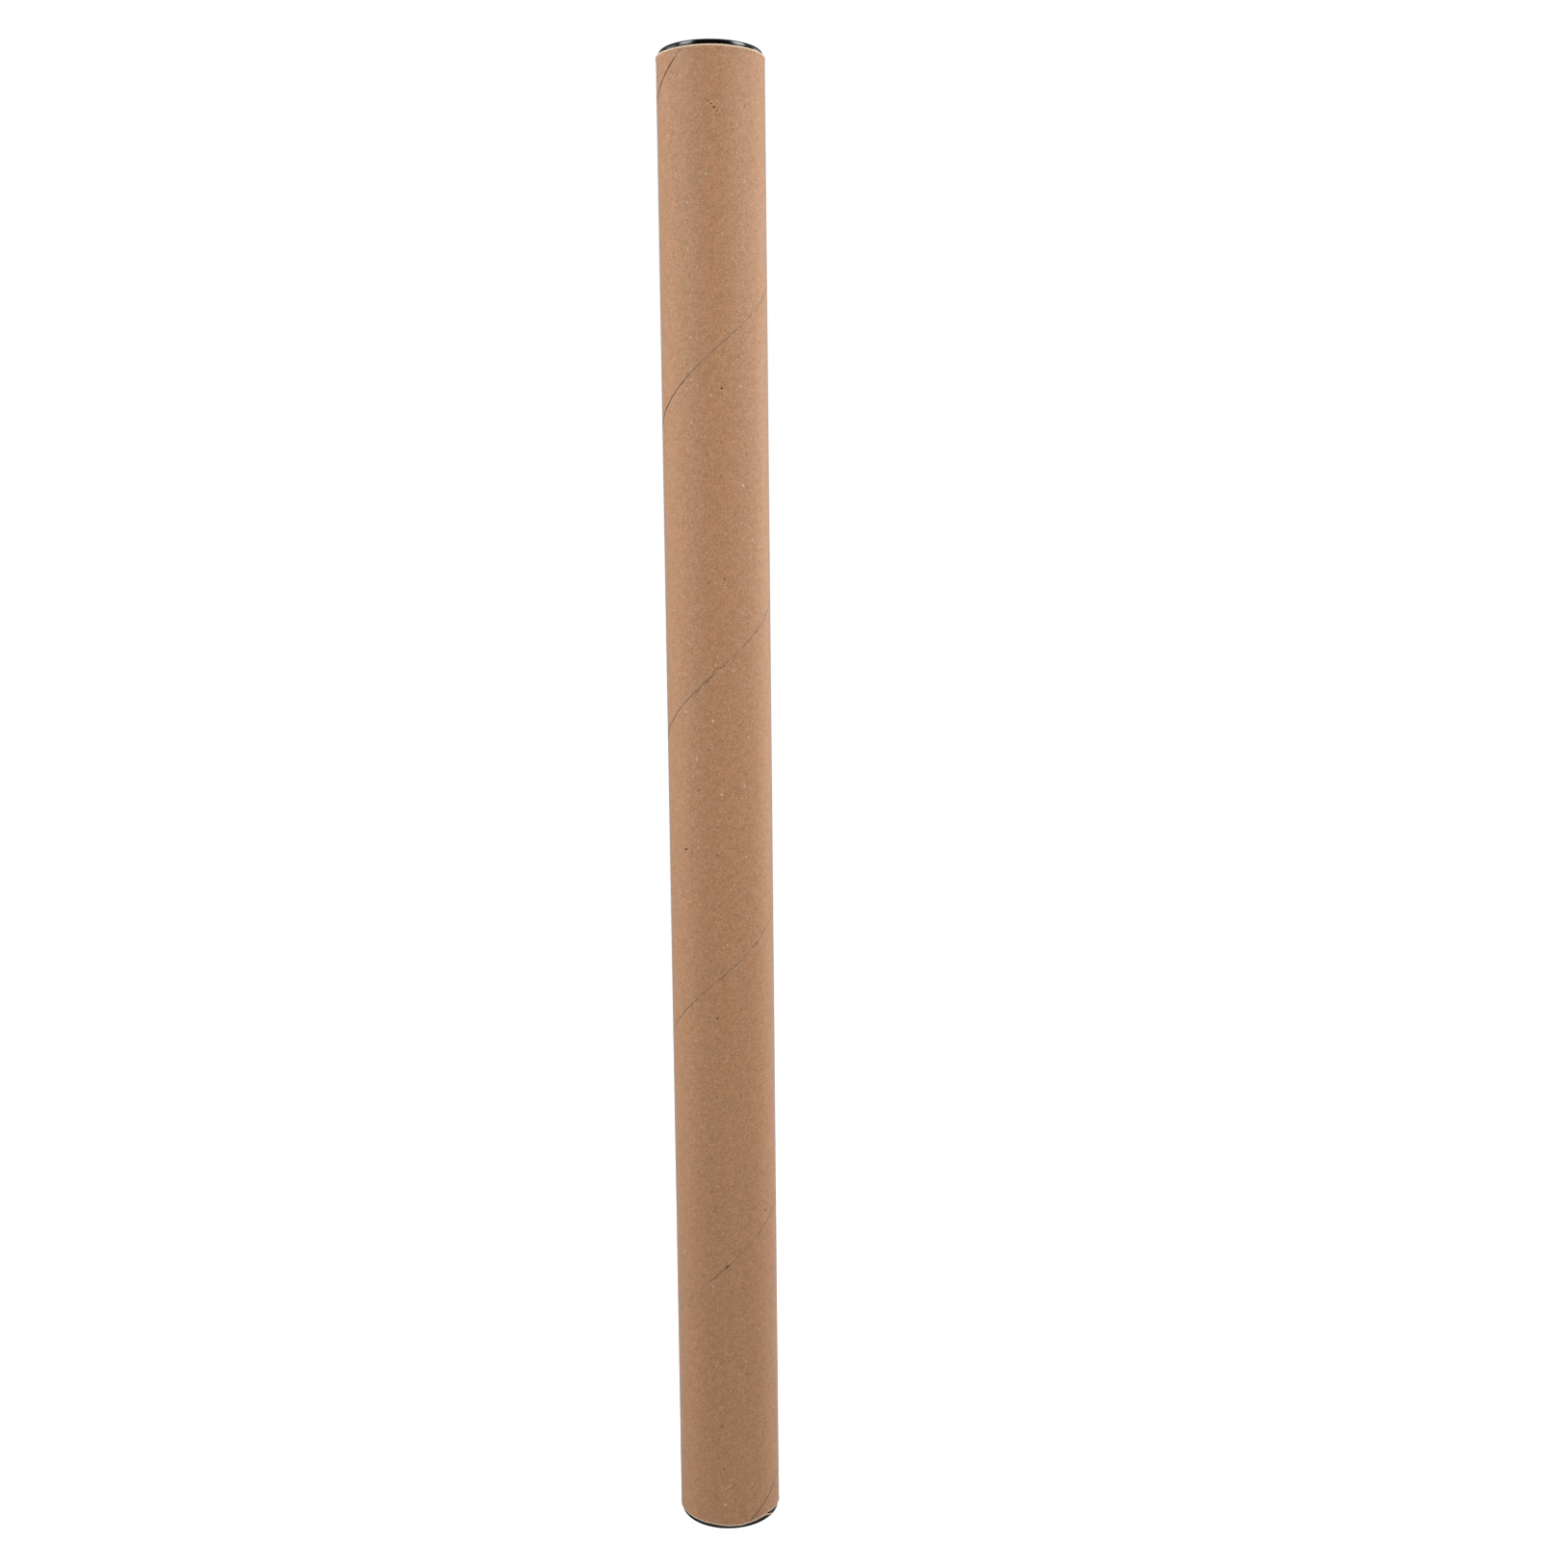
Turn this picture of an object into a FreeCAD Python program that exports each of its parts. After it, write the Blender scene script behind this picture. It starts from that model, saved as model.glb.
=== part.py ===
"""Cardboard mailing tube: a spirally wound paperboard tube with a plastic plug in each end.

Millimetres, +Z up. The tube stands on the rim of its lower plug, and the origin is the centre of
that rim, on the surface that it stands on. The front is -Y, and angles are counted
anticlockwise from +X, seen from above.
"""
import FreeCAD, Part
import math
import os

# Paperboard tube
bore_diameter = 50.8
wall_thickness = 1.6
tube_length = 762.0
cut_edge_radius = 0.3

# Spiral seam, the gap between the edges of the outer ply
seam_pitch = 157.3
seam_width = 0.7
seam_depth = 0.35
seam_angle_at_lower_end = -63.5

# Nick in the lower cut edge
nick_depth = 1.3
nick_length = 17.0
nick_angle = -43.0

# Rim of a plug
rim_diameter = 51.8
rim_thickness = 2.4
rim_outer_radius = 0.8
rim_inner_radius = 0.3

# Cup of a plug
cup_depth = 14.0
cup_wall = 1.2
cup_floor = 1.2
cup_gap = 0.35
cup_taper = 0.2
cup_lead_in = 0.9
gate_mark_diameter = 5.0
gate_mark_height = 0.3

# Grip beads round a plug's cup
bead_count = 2
bead_width = 1.8
bead_spacing = 4.5
first_bead = 3.5
bead_clearance = 0.05

# Sizes that follow from those above
bore_radius = bore_diameter / 2
tube_radius = bore_radius + wall_thickness
rim_radius = rim_diameter / 2
cup_radius = bore_radius - cup_gap
plug_depth = rim_thickness + cup_depth
tube_bottom = rim_thickness
overall_height = tube_length + 2 * rim_thickness

AXIS = FreeCAD.Vector(0, 0, 1)
CENTRE = FreeCAD.Vector(0, 0, 0)


def point(radius, height):
    """A point of a half section, in the XZ plane."""
    return FreeCAD.Vector(radius, 0, height)


def line(start, end):
    """A straight edge between two points."""
    return Part.LineSegment(start, end).toShape()


def arc(start, middle, end):
    """An arc through three points."""
    return Part.Arc(start, middle, end).toShape()


def corner(centre, radius, from_angle, to_angle):
    """A quarter round about a centre, between two angles in degrees from the +X direction."""
    places = []
    for angle in (from_angle, (from_angle + to_angle) / 2, to_angle):
        turn = math.radians(angle)
        places.append(centre + point(radius * math.cos(turn), radius * math.sin(turn)))
    return places


def turned(edges):
    """The solid that a closed half section gives, turned about the tube's axis."""
    section = Part.Face(Part.Wire(edges))
    return section.revolve(CENTRE, AXIS, 360)


def plain_tube():
    """The tube's wall, with its outer corners rounded where it was cut."""
    low = tube_bottom
    high = tube_bottom + tube_length
    edge = cut_edge_radius
    lower = corner(point(tube_radius - edge, low + edge), edge, -90, 0)
    upper = corner(point(tube_radius - edge, high - edge), edge, 0, 90)
    return turned([
        line(point(bore_radius, low), lower[0]),
        arc(*lower),
        line(lower[2], upper[0]),
        arc(*upper),
        line(upper[2], point(bore_radius, high)),
        line(point(bore_radius, high), point(bore_radius, low)),
    ])


def seam_groove():
    """The spiral groove, a strip swept along a right-handed helix that runs past both ends."""
    overrun = 3 * seam_width
    climb = seam_pitch / (2 * math.pi * tube_radius)
    path = Part.makeHelix(seam_pitch, tube_length + 2 * overrun, tube_radius)
    out = FreeCAD.Vector(1, 0, 0)
    along = FreeCAD.Vector(0, 1, climb)
    along.normalize()
    across = out.cross(along)
    start = out * tube_radius
    inner = start - out * seam_depth
    outer = start + out * seam_depth
    half = across * (seam_width / 2)
    ring = [inner - half, outer - half, outer + half, inner + half, inner - half]
    profile = Part.makePolygon(ring)
    groove = Part.Wire(path.Edges).makePipeShell([profile], True, True)
    groove.rotate(CENTRE, AXIS, seam_angle_at_lower_end - 360 * overrun / seam_pitch)
    groove.translate(AXIS * (tube_bottom - overrun))
    return groove


def edge_nick():
    """The shallow bite out of the lower cut edge, the side of a wide drum."""
    drum_radius = nick_length ** 2 / (8 * nick_depth) + nick_depth / 2
    drum = Part.makeCylinder(
        drum_radius,
        2 * wall_thickness,
        point(bore_radius - wall_thickness / 2, tube_bottom + nick_depth - drum_radius),
        FreeCAD.Vector(1, 0, 0),
    )
    drum.rotate(CENTRE, AXIS, nick_angle)
    return drum


def tube():
    """The paperboard tube with its seam and the nick in its lower edge."""
    return plain_tube().cut(seam_groove()).cut(edge_nick())


def cup_outside(height):
    """The cup's outer radius at a height above the rim's outer face."""
    share = (height - rim_thickness) / cup_depth
    return cup_radius - cup_taper * share


def bead_edges():
    """The cup's outer side from the rim to the lead-in, with its rounded grip beads."""
    edges = []
    here = point(cup_radius, rim_thickness)
    for number in range(bead_count):
        middle = rim_thickness + first_bead + number * bead_spacing
        low = middle - bead_width / 2
        high = middle + bead_width / 2
        start = point(cup_outside(low), low)
        end = point(cup_outside(high), high)
        edges.append(line(here, start))
        edges.append(arc(start, point(bore_radius - bead_clearance, middle), end))
        here = end
    shoulder = plug_depth - cup_lead_in
    edges.append(line(here, point(cup_outside(shoulder), shoulder)))
    return edges


def plug():
    """A plug with its rim's outer face at height 0 and its cup above that."""
    floor_face = plug_depth - cup_floor
    inside = cup_outside(plug_depth) - cup_wall
    mouth = cup_radius - cup_wall
    gate_radius = gate_mark_diameter / 2
    gate_face = floor_face - gate_mark_height
    inner = corner(point(mouth + rim_inner_radius, rim_inner_radius), rim_inner_radius, 180, 270)
    outer = corner(point(rim_radius - rim_outer_radius, rim_outer_radius), rim_outer_radius, -90, 0)
    shoulder = plug_depth - cup_lead_in
    tip = cup_outside(plug_depth) - cup_lead_in / 2
    edges = [
        line(point(0, gate_face), point(gate_radius, gate_face)),
        line(point(gate_radius, gate_face), point(gate_radius, floor_face)),
        line(point(gate_radius, floor_face), point(inside, floor_face)),
        line(point(inside, floor_face), inner[0]),
        arc(*inner),
        line(inner[2], outer[0]),
        arc(*outer),
        line(outer[2], point(rim_radius, rim_thickness)),
        line(point(rim_radius, rim_thickness), point(cup_radius, rim_thickness)),
    ]
    edges.extend(bead_edges())
    edges.append(line(point(cup_outside(shoulder), shoulder), point(tip, plug_depth)))
    edges.append(line(point(tip, plug_depth), point(0, plug_depth)))
    edges.append(line(point(0, plug_depth), point(0, gate_face)))
    return turned(edges)


def bottom_cap():
    """The lower plug, whose rim the tube stands on."""
    return plug()


def top_cap():
    """The upper plug, the same one turned over."""
    shape = plug()
    shape.rotate(CENTRE, FreeCAD.Vector(1, 0, 0), 180)
    shape.translate(AXIS * overall_height)
    return shape


nodes = {
    "tube": tube,
    "top_cap": top_cap,
    "bottom_cap": bottom_cap,
}

os.makedirs("parts", exist_ok=True)
for name, make in nodes.items():
    solid = make()
    solid.exportStep(f"parts/{name}.step")
    print(name, solid.ShapeType, len(solid.Solids), solid.isValid(), round(solid.Volume, 1))
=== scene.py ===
"""Dresses a spirally wound cardboard mailing tube that is closed by a plastic plug in each end.

The tube stands upright on the rim of its lower plug. The sizes in the classes below are in
millimetres. An azimuth is an angle in degrees round the tube, counted from the front (-Y)
towards the right (+X), and a height is counted up from the tube's lower cut edge.
"""

import logging
import math
from dataclasses import dataclass, field
from enum import Enum

import bmesh
import bpy
from mathutils import Matrix, Vector, noise


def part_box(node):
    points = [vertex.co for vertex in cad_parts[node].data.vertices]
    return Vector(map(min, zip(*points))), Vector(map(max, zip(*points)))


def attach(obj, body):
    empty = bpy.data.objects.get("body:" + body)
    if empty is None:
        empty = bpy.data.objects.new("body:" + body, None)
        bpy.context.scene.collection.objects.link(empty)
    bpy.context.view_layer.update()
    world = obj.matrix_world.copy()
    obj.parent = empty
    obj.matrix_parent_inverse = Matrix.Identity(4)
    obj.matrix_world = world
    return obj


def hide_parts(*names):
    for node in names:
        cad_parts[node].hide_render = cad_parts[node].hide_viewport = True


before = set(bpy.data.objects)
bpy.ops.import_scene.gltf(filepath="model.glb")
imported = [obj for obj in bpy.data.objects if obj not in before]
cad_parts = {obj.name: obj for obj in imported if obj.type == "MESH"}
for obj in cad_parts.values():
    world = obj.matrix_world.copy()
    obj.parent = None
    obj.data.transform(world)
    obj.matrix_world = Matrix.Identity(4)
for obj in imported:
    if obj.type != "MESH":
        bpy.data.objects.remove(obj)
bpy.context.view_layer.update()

MM = 0.001
FULL_TURN = 360.0
STRIP_MAP = "strip"
FROM_CUT = "from_cut"
IN_GROOVE = "in_groove"

# The rim that the tube stands and drops on is pressed out a little, in millimetres
LOWER_RIM_SPREAD = 0.5

# Points closer than this are one point, in millimetres
TOUCHING = 0.002

# A map range that eases in and out
EASED = {"interpolation_type": "SMOOTHSTEP"}

Colour = tuple[float, float, float, float]
Table = tuple[tuple[float, float], ...]
Rows = tuple[tuple[float, ...], ...]
Mesh = bmesh.types.BMesh
Tree = bpy.types.NodeTree
Socket = bpy.types.NodeSocket
Material = bpy.types.Material

log = logging.getLogger("mailing_tube")


class Surface(Enum):
    """The faces of the wound board that take different finishes, by material index."""

    OUTER_PLY = 0
    CUT_EDGE = 1
    INNER_PLY = 2


class Tone(Enum):
    """Whether a mark in the paper is darker or lighter than the kraft round it."""

    DARK = "dark"
    LIGHT = "light"


def linear(code: str) -> Colour:
    """Turns an sRGB hex colour into a linear one.

    Args:
        code: a hash and six hex digits.

    Returns:
        Linear red, green, blue and an alpha of 1.
    """
    parts = []
    for start in (1, 3, 5):
        value = int(code[start:start + 2], 16) / 255
        curved = ((value + 0.055) / 1.055) ** 2.4
        parts.append(value / 12.92 if value <= 0.04045 else curved)
    return (parts[0], parts[1], parts[2], 1.0)


def add_node(
    tree: Tree,
    kind: str,
    settings: dict[str, object] | None = None,
    inputs: dict[str | int, object] | None = None,
) -> bpy.types.Node:
    """Adds a shader node, sets its properties, and sets or links its inputs.

    Args:
        tree: the node tree that gets the node.
        kind: the node's type name without its ShaderNode prefix.
        settings: property names and their values.
        inputs: input names or places, each with a value or the socket that feeds it.

    Returns:
        The new node.
    """
    node = tree.nodes.new("ShaderNode" + kind)
    for name, value in (settings or {}).items():
        setattr(node, name, value)
    for name, value in (inputs or {}).items():
        if isinstance(value, Socket):
            tree.links.new(value, node.inputs[name])
        else:
            node.inputs[name].default_value = value
    return node


def blank_material(name: str) -> Material:
    """Makes a material with an empty node tree.

    Args:
        name: the material's name.

    Returns:
        The material.
    """
    material = bpy.data.materials.new(name)
    material.use_nodes = True
    material.node_tree.nodes.clear()
    return material


def coat(
    material: Material, height: Socket, relief: float, strength: float, inputs: dict[str, object]
) -> None:
    """Ends a material's tree with its shader, whose relief follows a pattern.

    Args:
        material: the material.
        height: the pattern that raises the surface.
        relief: how far it raises it, in millimetres.
        strength: the share of the relief that the light shows.
        inputs: the shader's other inputs.
    """
    tree = material.node_tree
    bump = add_node(
        tree, "Bump", {}, {"Strength": strength, "Distance": relief * MM, "Height": height}
    )
    shader = add_node(tree, "BsdfPrincipled", {}, inputs | {"Normal": bump.outputs["Normal"]})
    add_node(tree, "OutputMaterial", {}, {"Surface": shader.outputs["BSDF"]})


def place(azimuth: float, radius: float, height: float) -> Vector:
    """Gives the point at an azimuth, a radius and a height in the part's own frame.

    Args:
        azimuth: degrees from the front towards the right.
        radius: millimetres from the tube's axis.
        height: millimetres above the surface that the tube stands on.

    Returns:
        The point in metres.
    """
    turn = math.radians(azimuth)
    return Vector((radius * math.sin(turn), -radius * math.cos(turn), height)) * MM


def azimuth_of(point: Vector) -> float:
    """Gives a point's azimuth in degrees, from -180 to 180."""
    return math.degrees(math.atan2(point.x, -point.y))


def azimuth_near(point: Vector, middle: float) -> float:
    """Gives a point's azimuth within half a turn of another azimuth.

    Args:
        point: the point.
        middle: the other azimuth in degrees.

    Returns:
        Degrees from the front, which may lie past a half turn.
    """
    half_turn = FULL_TURN / 2
    swing = azimuth_of(point) - middle + half_turn
    return middle + swing % FULL_TURN - half_turn


def smooth_step(low: float, high: float, value: float) -> float:
    """Rises smoothly from 0 at low to 1 at high."""
    share = min(max((value - low) / (high - low), 0.0), 1.0)
    return share * share * (3 - 2 * share)


def along(table: Table, place_on_it: float) -> float:
    """Reads a table of places and values, in a straight line from one to the next.

    Args:
        table: pairs of a place and its value, the places rising.
        place_on_it: the place to read the value at.

    Returns:
        The value, which is the first or last one outside the table.
    """
    before = table[0]
    if place_on_it <= before[0]:
        return before[1]
    for after in table[1:]:
        if place_on_it <= after[0]:
            share = (place_on_it - before[0]) / (after[0] - before[0])
            return before[1] + (after[1] - before[1]) * share
        before = after
    return before[1]


def move_out(vert: bmesh.types.BMVert, radius: float) -> None:
    """Moves a vertex out or in, level with itself.

    Args:
        vert: the vertex.
        radius: its new radius in millimetres.
    """
    scale = radius * MM / vert.co.xy.length
    vert.co.x *= scale
    vert.co.y *= scale


def shade(mesh: Mesh, crease: float) -> None:
    """Turns faces outwards, smooths them, and keeps edges sharper than the crease angle.

    Args:
        mesh: the mesh to finish.
        crease: the angle between two faces, in degrees, above which their edge stays sharp.
    """
    bmesh.ops.recalc_face_normals(mesh, faces=mesh.faces)
    for face in mesh.faces:
        face.smooth = True
    for edge in mesh.edges:
        edge.smooth = edge.calc_face_angle(0.0) < math.radians(crease)


def to_piece(
    name: str, mesh: Mesh, materials: list[Material], body: str
) -> bpy.types.Object:
    """Makes an object of a finished mesh, at the origin, riding on a body.

    Args:
        name: the piece's name.
        mesh: the mesh, which is freed.
        materials: the materials in the order of the faces' material indexes.
        body: the CAD body that the piece moves with.

    Returns:
        The object.
    """
    data = bpy.data.meshes.new(name)
    mesh.to_mesh(data)
    mesh.free()
    for material in materials:
        data.materials.append(material)
    piece = bpy.data.objects.new(name, data)
    bpy.context.scene.collection.objects.link(piece)
    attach(piece, body)
    log.info("%s: %d faces on body %s", name, len(data.polygons), body)
    return piece


@dataclass(frozen=True)
class SpiralSeam:
    """The line where the two edges of the outer ply's strip meet, winding up to the right.

    Its tables go by the height of the seam itself, which no two of its points share.
    """

    radius: float
    pitch: float = 157.3
    start: float = 26.5
    depth: float = 0.1
    plain_gap: float = 0.42
    gaps: Table = (
        (0, 0.74), (8, 0.74), (14, 0.85), (20, 0.8), (23, 0.06), (60, 0.1), (90, 0.35), (116, 0.31),
        (128, 0.29), (137, 0.32), (143, 0.42), (146, 0.7), (148, 0.38), (156, 0.32), (163, 0.39),
        (172, 0.55), (220, 0.5), (270, 0.56), (285, 0.42), (294, 0.25), (302, 0.24), (311, 0.29),
        (320, 0.35), (330, 0.48), (380, 0.55), (430, 0.82), (442, 0.46), (450, 0.46), (460, 0.33),
        (468, 0.33), (477, 0.33), (487, 0.65), (540, 0.6), (588, 1.05), (600, 0.85), (607, 0.38),
        (617, 0.32), (626, 0.22), (636, 0.33), (645, 0.5), (690, 0.6), (740, 1.1), (750, 1.15),
        (756, 1), (758, 0.3),
    )
    shifts: Table = (
        (0, 2.6), (7, 1.4), (15, 0.4), (117, 0.2), (140, 0.0), (160, -0.9), (171, -2.4),
        (230, -1.0), (272, 0.1), (297, 0.1), (304, -0.7), (320, -2.2), (334, -3.3), (400, 0.2),
        (433, 1.0), (450, 0.8), (466, 0.3), (480, -0.7), (500, -0.5), (560, 1.0), (588, 1.65),
        (604, 1.1), (616, 0.8), (628, -0.5), (647, -1.0), (700, -0.6), (744, 0.0), (757, -0.8),
    )
    easing: float = 4.0
    fray: float = 0.17
    coarse_fray: float = 0.55
    fine_fray: float = 1.7
    fine_share: float = 0.7
    tightest: float = 0.02

    @property
    def slope(self) -> float:
        """The angle of the seam above the level, in radians."""
        return math.atan(self.pitch / (2 * math.pi * self.radius))

    @property
    def strip_width(self) -> float:
        """The width of the wound strip of paper, square to its edges."""
        return self.pitch * math.cos(self.slope)

    @property
    def plain_half(self) -> float:
        """Half the even gap, measured along the tube's axis."""
        return self.plain_gap / 2 / math.cos(self.slope)

    def wander(self, height: float) -> float:
        """Gives how far up the strip was laid from an even spiral, at the seam's own height."""
        places = (height - self.easing, height, height + self.easing)
        return sum(along(self.shifts, spot) for spot in places) / len(places)

    def half_gap(self, height: float, side: float) -> float:
        """Gives how far one edge of the strip stands off the seam's middle.

        Args:
            height: the even seam's own height.
            side: 1 for the edge above the seam, -1 for the edge below it.

        Returns:
            Millimetres along the tube's axis.
        """
        # The other two coordinates keep the edges and the two sizes of fray apart
        coarse = noise.noise(Vector((height * self.coarse_fray, side * 4.0, 0.5)))
        fine = noise.noise(Vector((height * self.fine_fray, side * 4.0, 2.5)))
        ragged = self.fray * (coarse + self.fine_share * fine)
        half = max(along(self.gaps, height) / 2 + ragged, self.tightest)
        return half / math.cos(self.slope)

    def turns(self, azimuth: float, height: float) -> float:
        """Gives how many pitches a point lies above the seam that starts at the lower edge."""
        return height / self.pitch - (azimuth - self.start) / FULL_TURN


@dataclass(frozen=True)
class Mark:
    """A speck, fleck or scratch in the paper's face, an oval that lies on the outer ply."""

    tone: Tone
    azimuth: float
    height: float
    length: float
    width: float
    tilt: float
    strength: float


# Azimuth, height, length, width, tilt and strength, in millimetres and degrees
DARK_MARKS: Rows = (
    (3, 732.4, 1.6, 1.3, 0, 1), (8.1, 729, 0.9, 0.7, 0, 0.83), (-2.6, 735.2, 1, 0.8, 0, 0.96),
    (0, 734, 1, 0.8, 0, 0.96), (6.2, 730.9, 1, 0.8, 0, 0.96), (4.2, 729.4, 0.8, 0.7, 0, 0.83),
    (11.7, 731.3, 0.8, 0.7, 0, 0.76), (37.7, 734.1, 1, 0.9, 0, 0.69),
    (22.8, 436.3, 1.1, 0.8, 0, 0.62), (7.2, 599.4, 1.6, 1.1, 0, 0.96),
    (26.2, 614.9, 1, 1.7, 0, 0.62), (7.5, 505.9, 1.1, 1, 0, 0.83),
    (-24.1, 399.3, 1.3, 1, 0, 0.83), (-42.1, 368.3, 2.4, 1.5, 25, 1),
    (-3.6, 380.5, 1, 1, 0, 0.83), (14.2, 379.6, 1.1, 0.9, 0, 0.83),
    (-4.1, 366, 1.1, 1.1, 0, 0.83), (14.7, 334.6, 3, 0.8, -10, 0.6), (-6.6, 280.7, 2, 1, 10, 1),
    (50, 172.9, 1.7, 1.5, 0, 0.96), (0.2, 145.7, 2.4, 1.7, 40, 1), (-8, 56.7, 2.4, 1, 20, 0.5),
    (-6.2, 32.3, 1.2, 0.9, 0, 0.83), (-14, 454.4, 6.3, 0.9, 43, 1),
    (-23.5, 450, 3.8, 0.8, 43, 0.96), (-37, 444.7, 3.3, 0.6, 43, 0.76),
    (5.9, 462.9, 2.1, 1, 43, 1), (-4, 460.4, 7.7, 0.5, 43, 0.69),
    (38.6, 476.2, 1.7, 0.6, 43, 0.83), (45.9, 479.7, 2.1, 0.8, 43, 0.96),
)
LIGHT_MARKS: Rows = (
    (15.9, 716.3, 1, 0.9, 0, 0.52), (-29.7, 708.9, 1, 0.9, 0, 0.52),
    (-11.4, 698.3, 1.1, 0.9, 0, 0.46), (27.1, 702.5, 1, 0.9, 0, 0.46),
    (-7, 434.8, 1.4, 1.3, 0, 0.73), (-26.3, 414.9, 1.5, 1, 0, 0.73),
    (1.3, 397.3, 1.3, 1.1, 0, 0.73), (26.8, 401, 1.3, 1.1, 0, 0.73),
    (29.5, 552.3, 1.3, 1.1, 0, 0.73), (5.1, 319.3, 1.4, 1.3, 0, 0.73),
    (26.6, 21.9, 1.3, 1.1, 0, 0.73), (-5.7, 12, 1.7, 1.4, 0, 0.73),
    (-57.2, 149.5, 3.7, 0.8, 60, 0.73), (-2.3, 21.9, 8.2, 0.7, 38, 0.52),
    (-33.9, 288.1, 1.2, 1.3, 0, 1),
)
MARKS: tuple[Mark, ...] = tuple(
    Mark(tone, *row)
    for tone, rows in ((Tone.DARK, DARK_MARKS), (Tone.LIGHT, LIGHT_MARKS))
    for row in rows
)


@dataclass(frozen=True)
class Grain:
    """A cloudy pattern whose grains have a real length along the strip and width across it."""

    length: float
    width: float
    turn: float = 0.0
    detail: float = 2.0
    keenness: float = 0.5

    def lay(self, tree: Tree, strip: Socket) -> Socket:
        """Adds the pattern's nodes.

        Args:
            tree: the material's node tree.
            strip: the paper strip's own coordinates, in metres.

        Returns:
            The pattern's value socket, about 0.5 on the average.
        """
        scaled = add_node(
            tree, "Mapping", {"vector_type": "TEXTURE"},
            {
                "Vector": strip,
                "Rotation": (0.0, 0.0, math.radians(self.turn)),
                "Scale": (self.length * MM, self.width * MM, MM),
            },
        )
        cloud = add_node(
            tree, "TexNoise", {"noise_dimensions": "2D"},
            {
                "Vector": scaled.outputs["Vector"],
                "Scale": 1.0,
                "Detail": self.detail,
                "Roughness": self.keenness,
            },
        )
        return cloud.outputs["Fac"]


@dataclass(frozen=True)
class Tint:
    """A colour that covers the one below it where a pattern passes from one level to another."""

    colour: str
    bare: float
    full: float
    share: float

    def lay(self, tree: Tree, under: Socket | Colour, pattern: Socket) -> Socket:
        """Adds the tint's nodes.

        Args:
            tree: the material's node tree.
            under: the colour below.
            pattern: the value that decides where the tint lies.

        Returns:
            The tinted colour's socket.
        """
        cover = add_node(
            tree, "MapRange", EASED,
            {
                "Value": pattern,
                "From Min": self.bare,
                "From Max": self.full,
                "To Min": 0.0,
                "To Max": self.share,
            },
        )
        # A mix node of colours has its two colours at places 6 and 7, and its result at 2
        mixed = add_node(
            tree, "Mix", {"data_type": "RGBA"},
            {0: cover.outputs["Result"], 6: under, 7: linear(self.colour)},
        )
        return mixed.outputs[2]


@dataclass(frozen=True)
class Specks:
    """Specks in those cells of a pattern whose chance lies in a range."""

    low: float
    high: float
    tint: Tint


@dataclass(frozen=True)
class EdgeTint:
    """A tint along one edge of the strip, strongest at the edge and gone at its reach: grey dust,
    pale wear, and below the seam a painted highlight too.
    """

    reach: float
    lift: float
    tint: Tint


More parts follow.
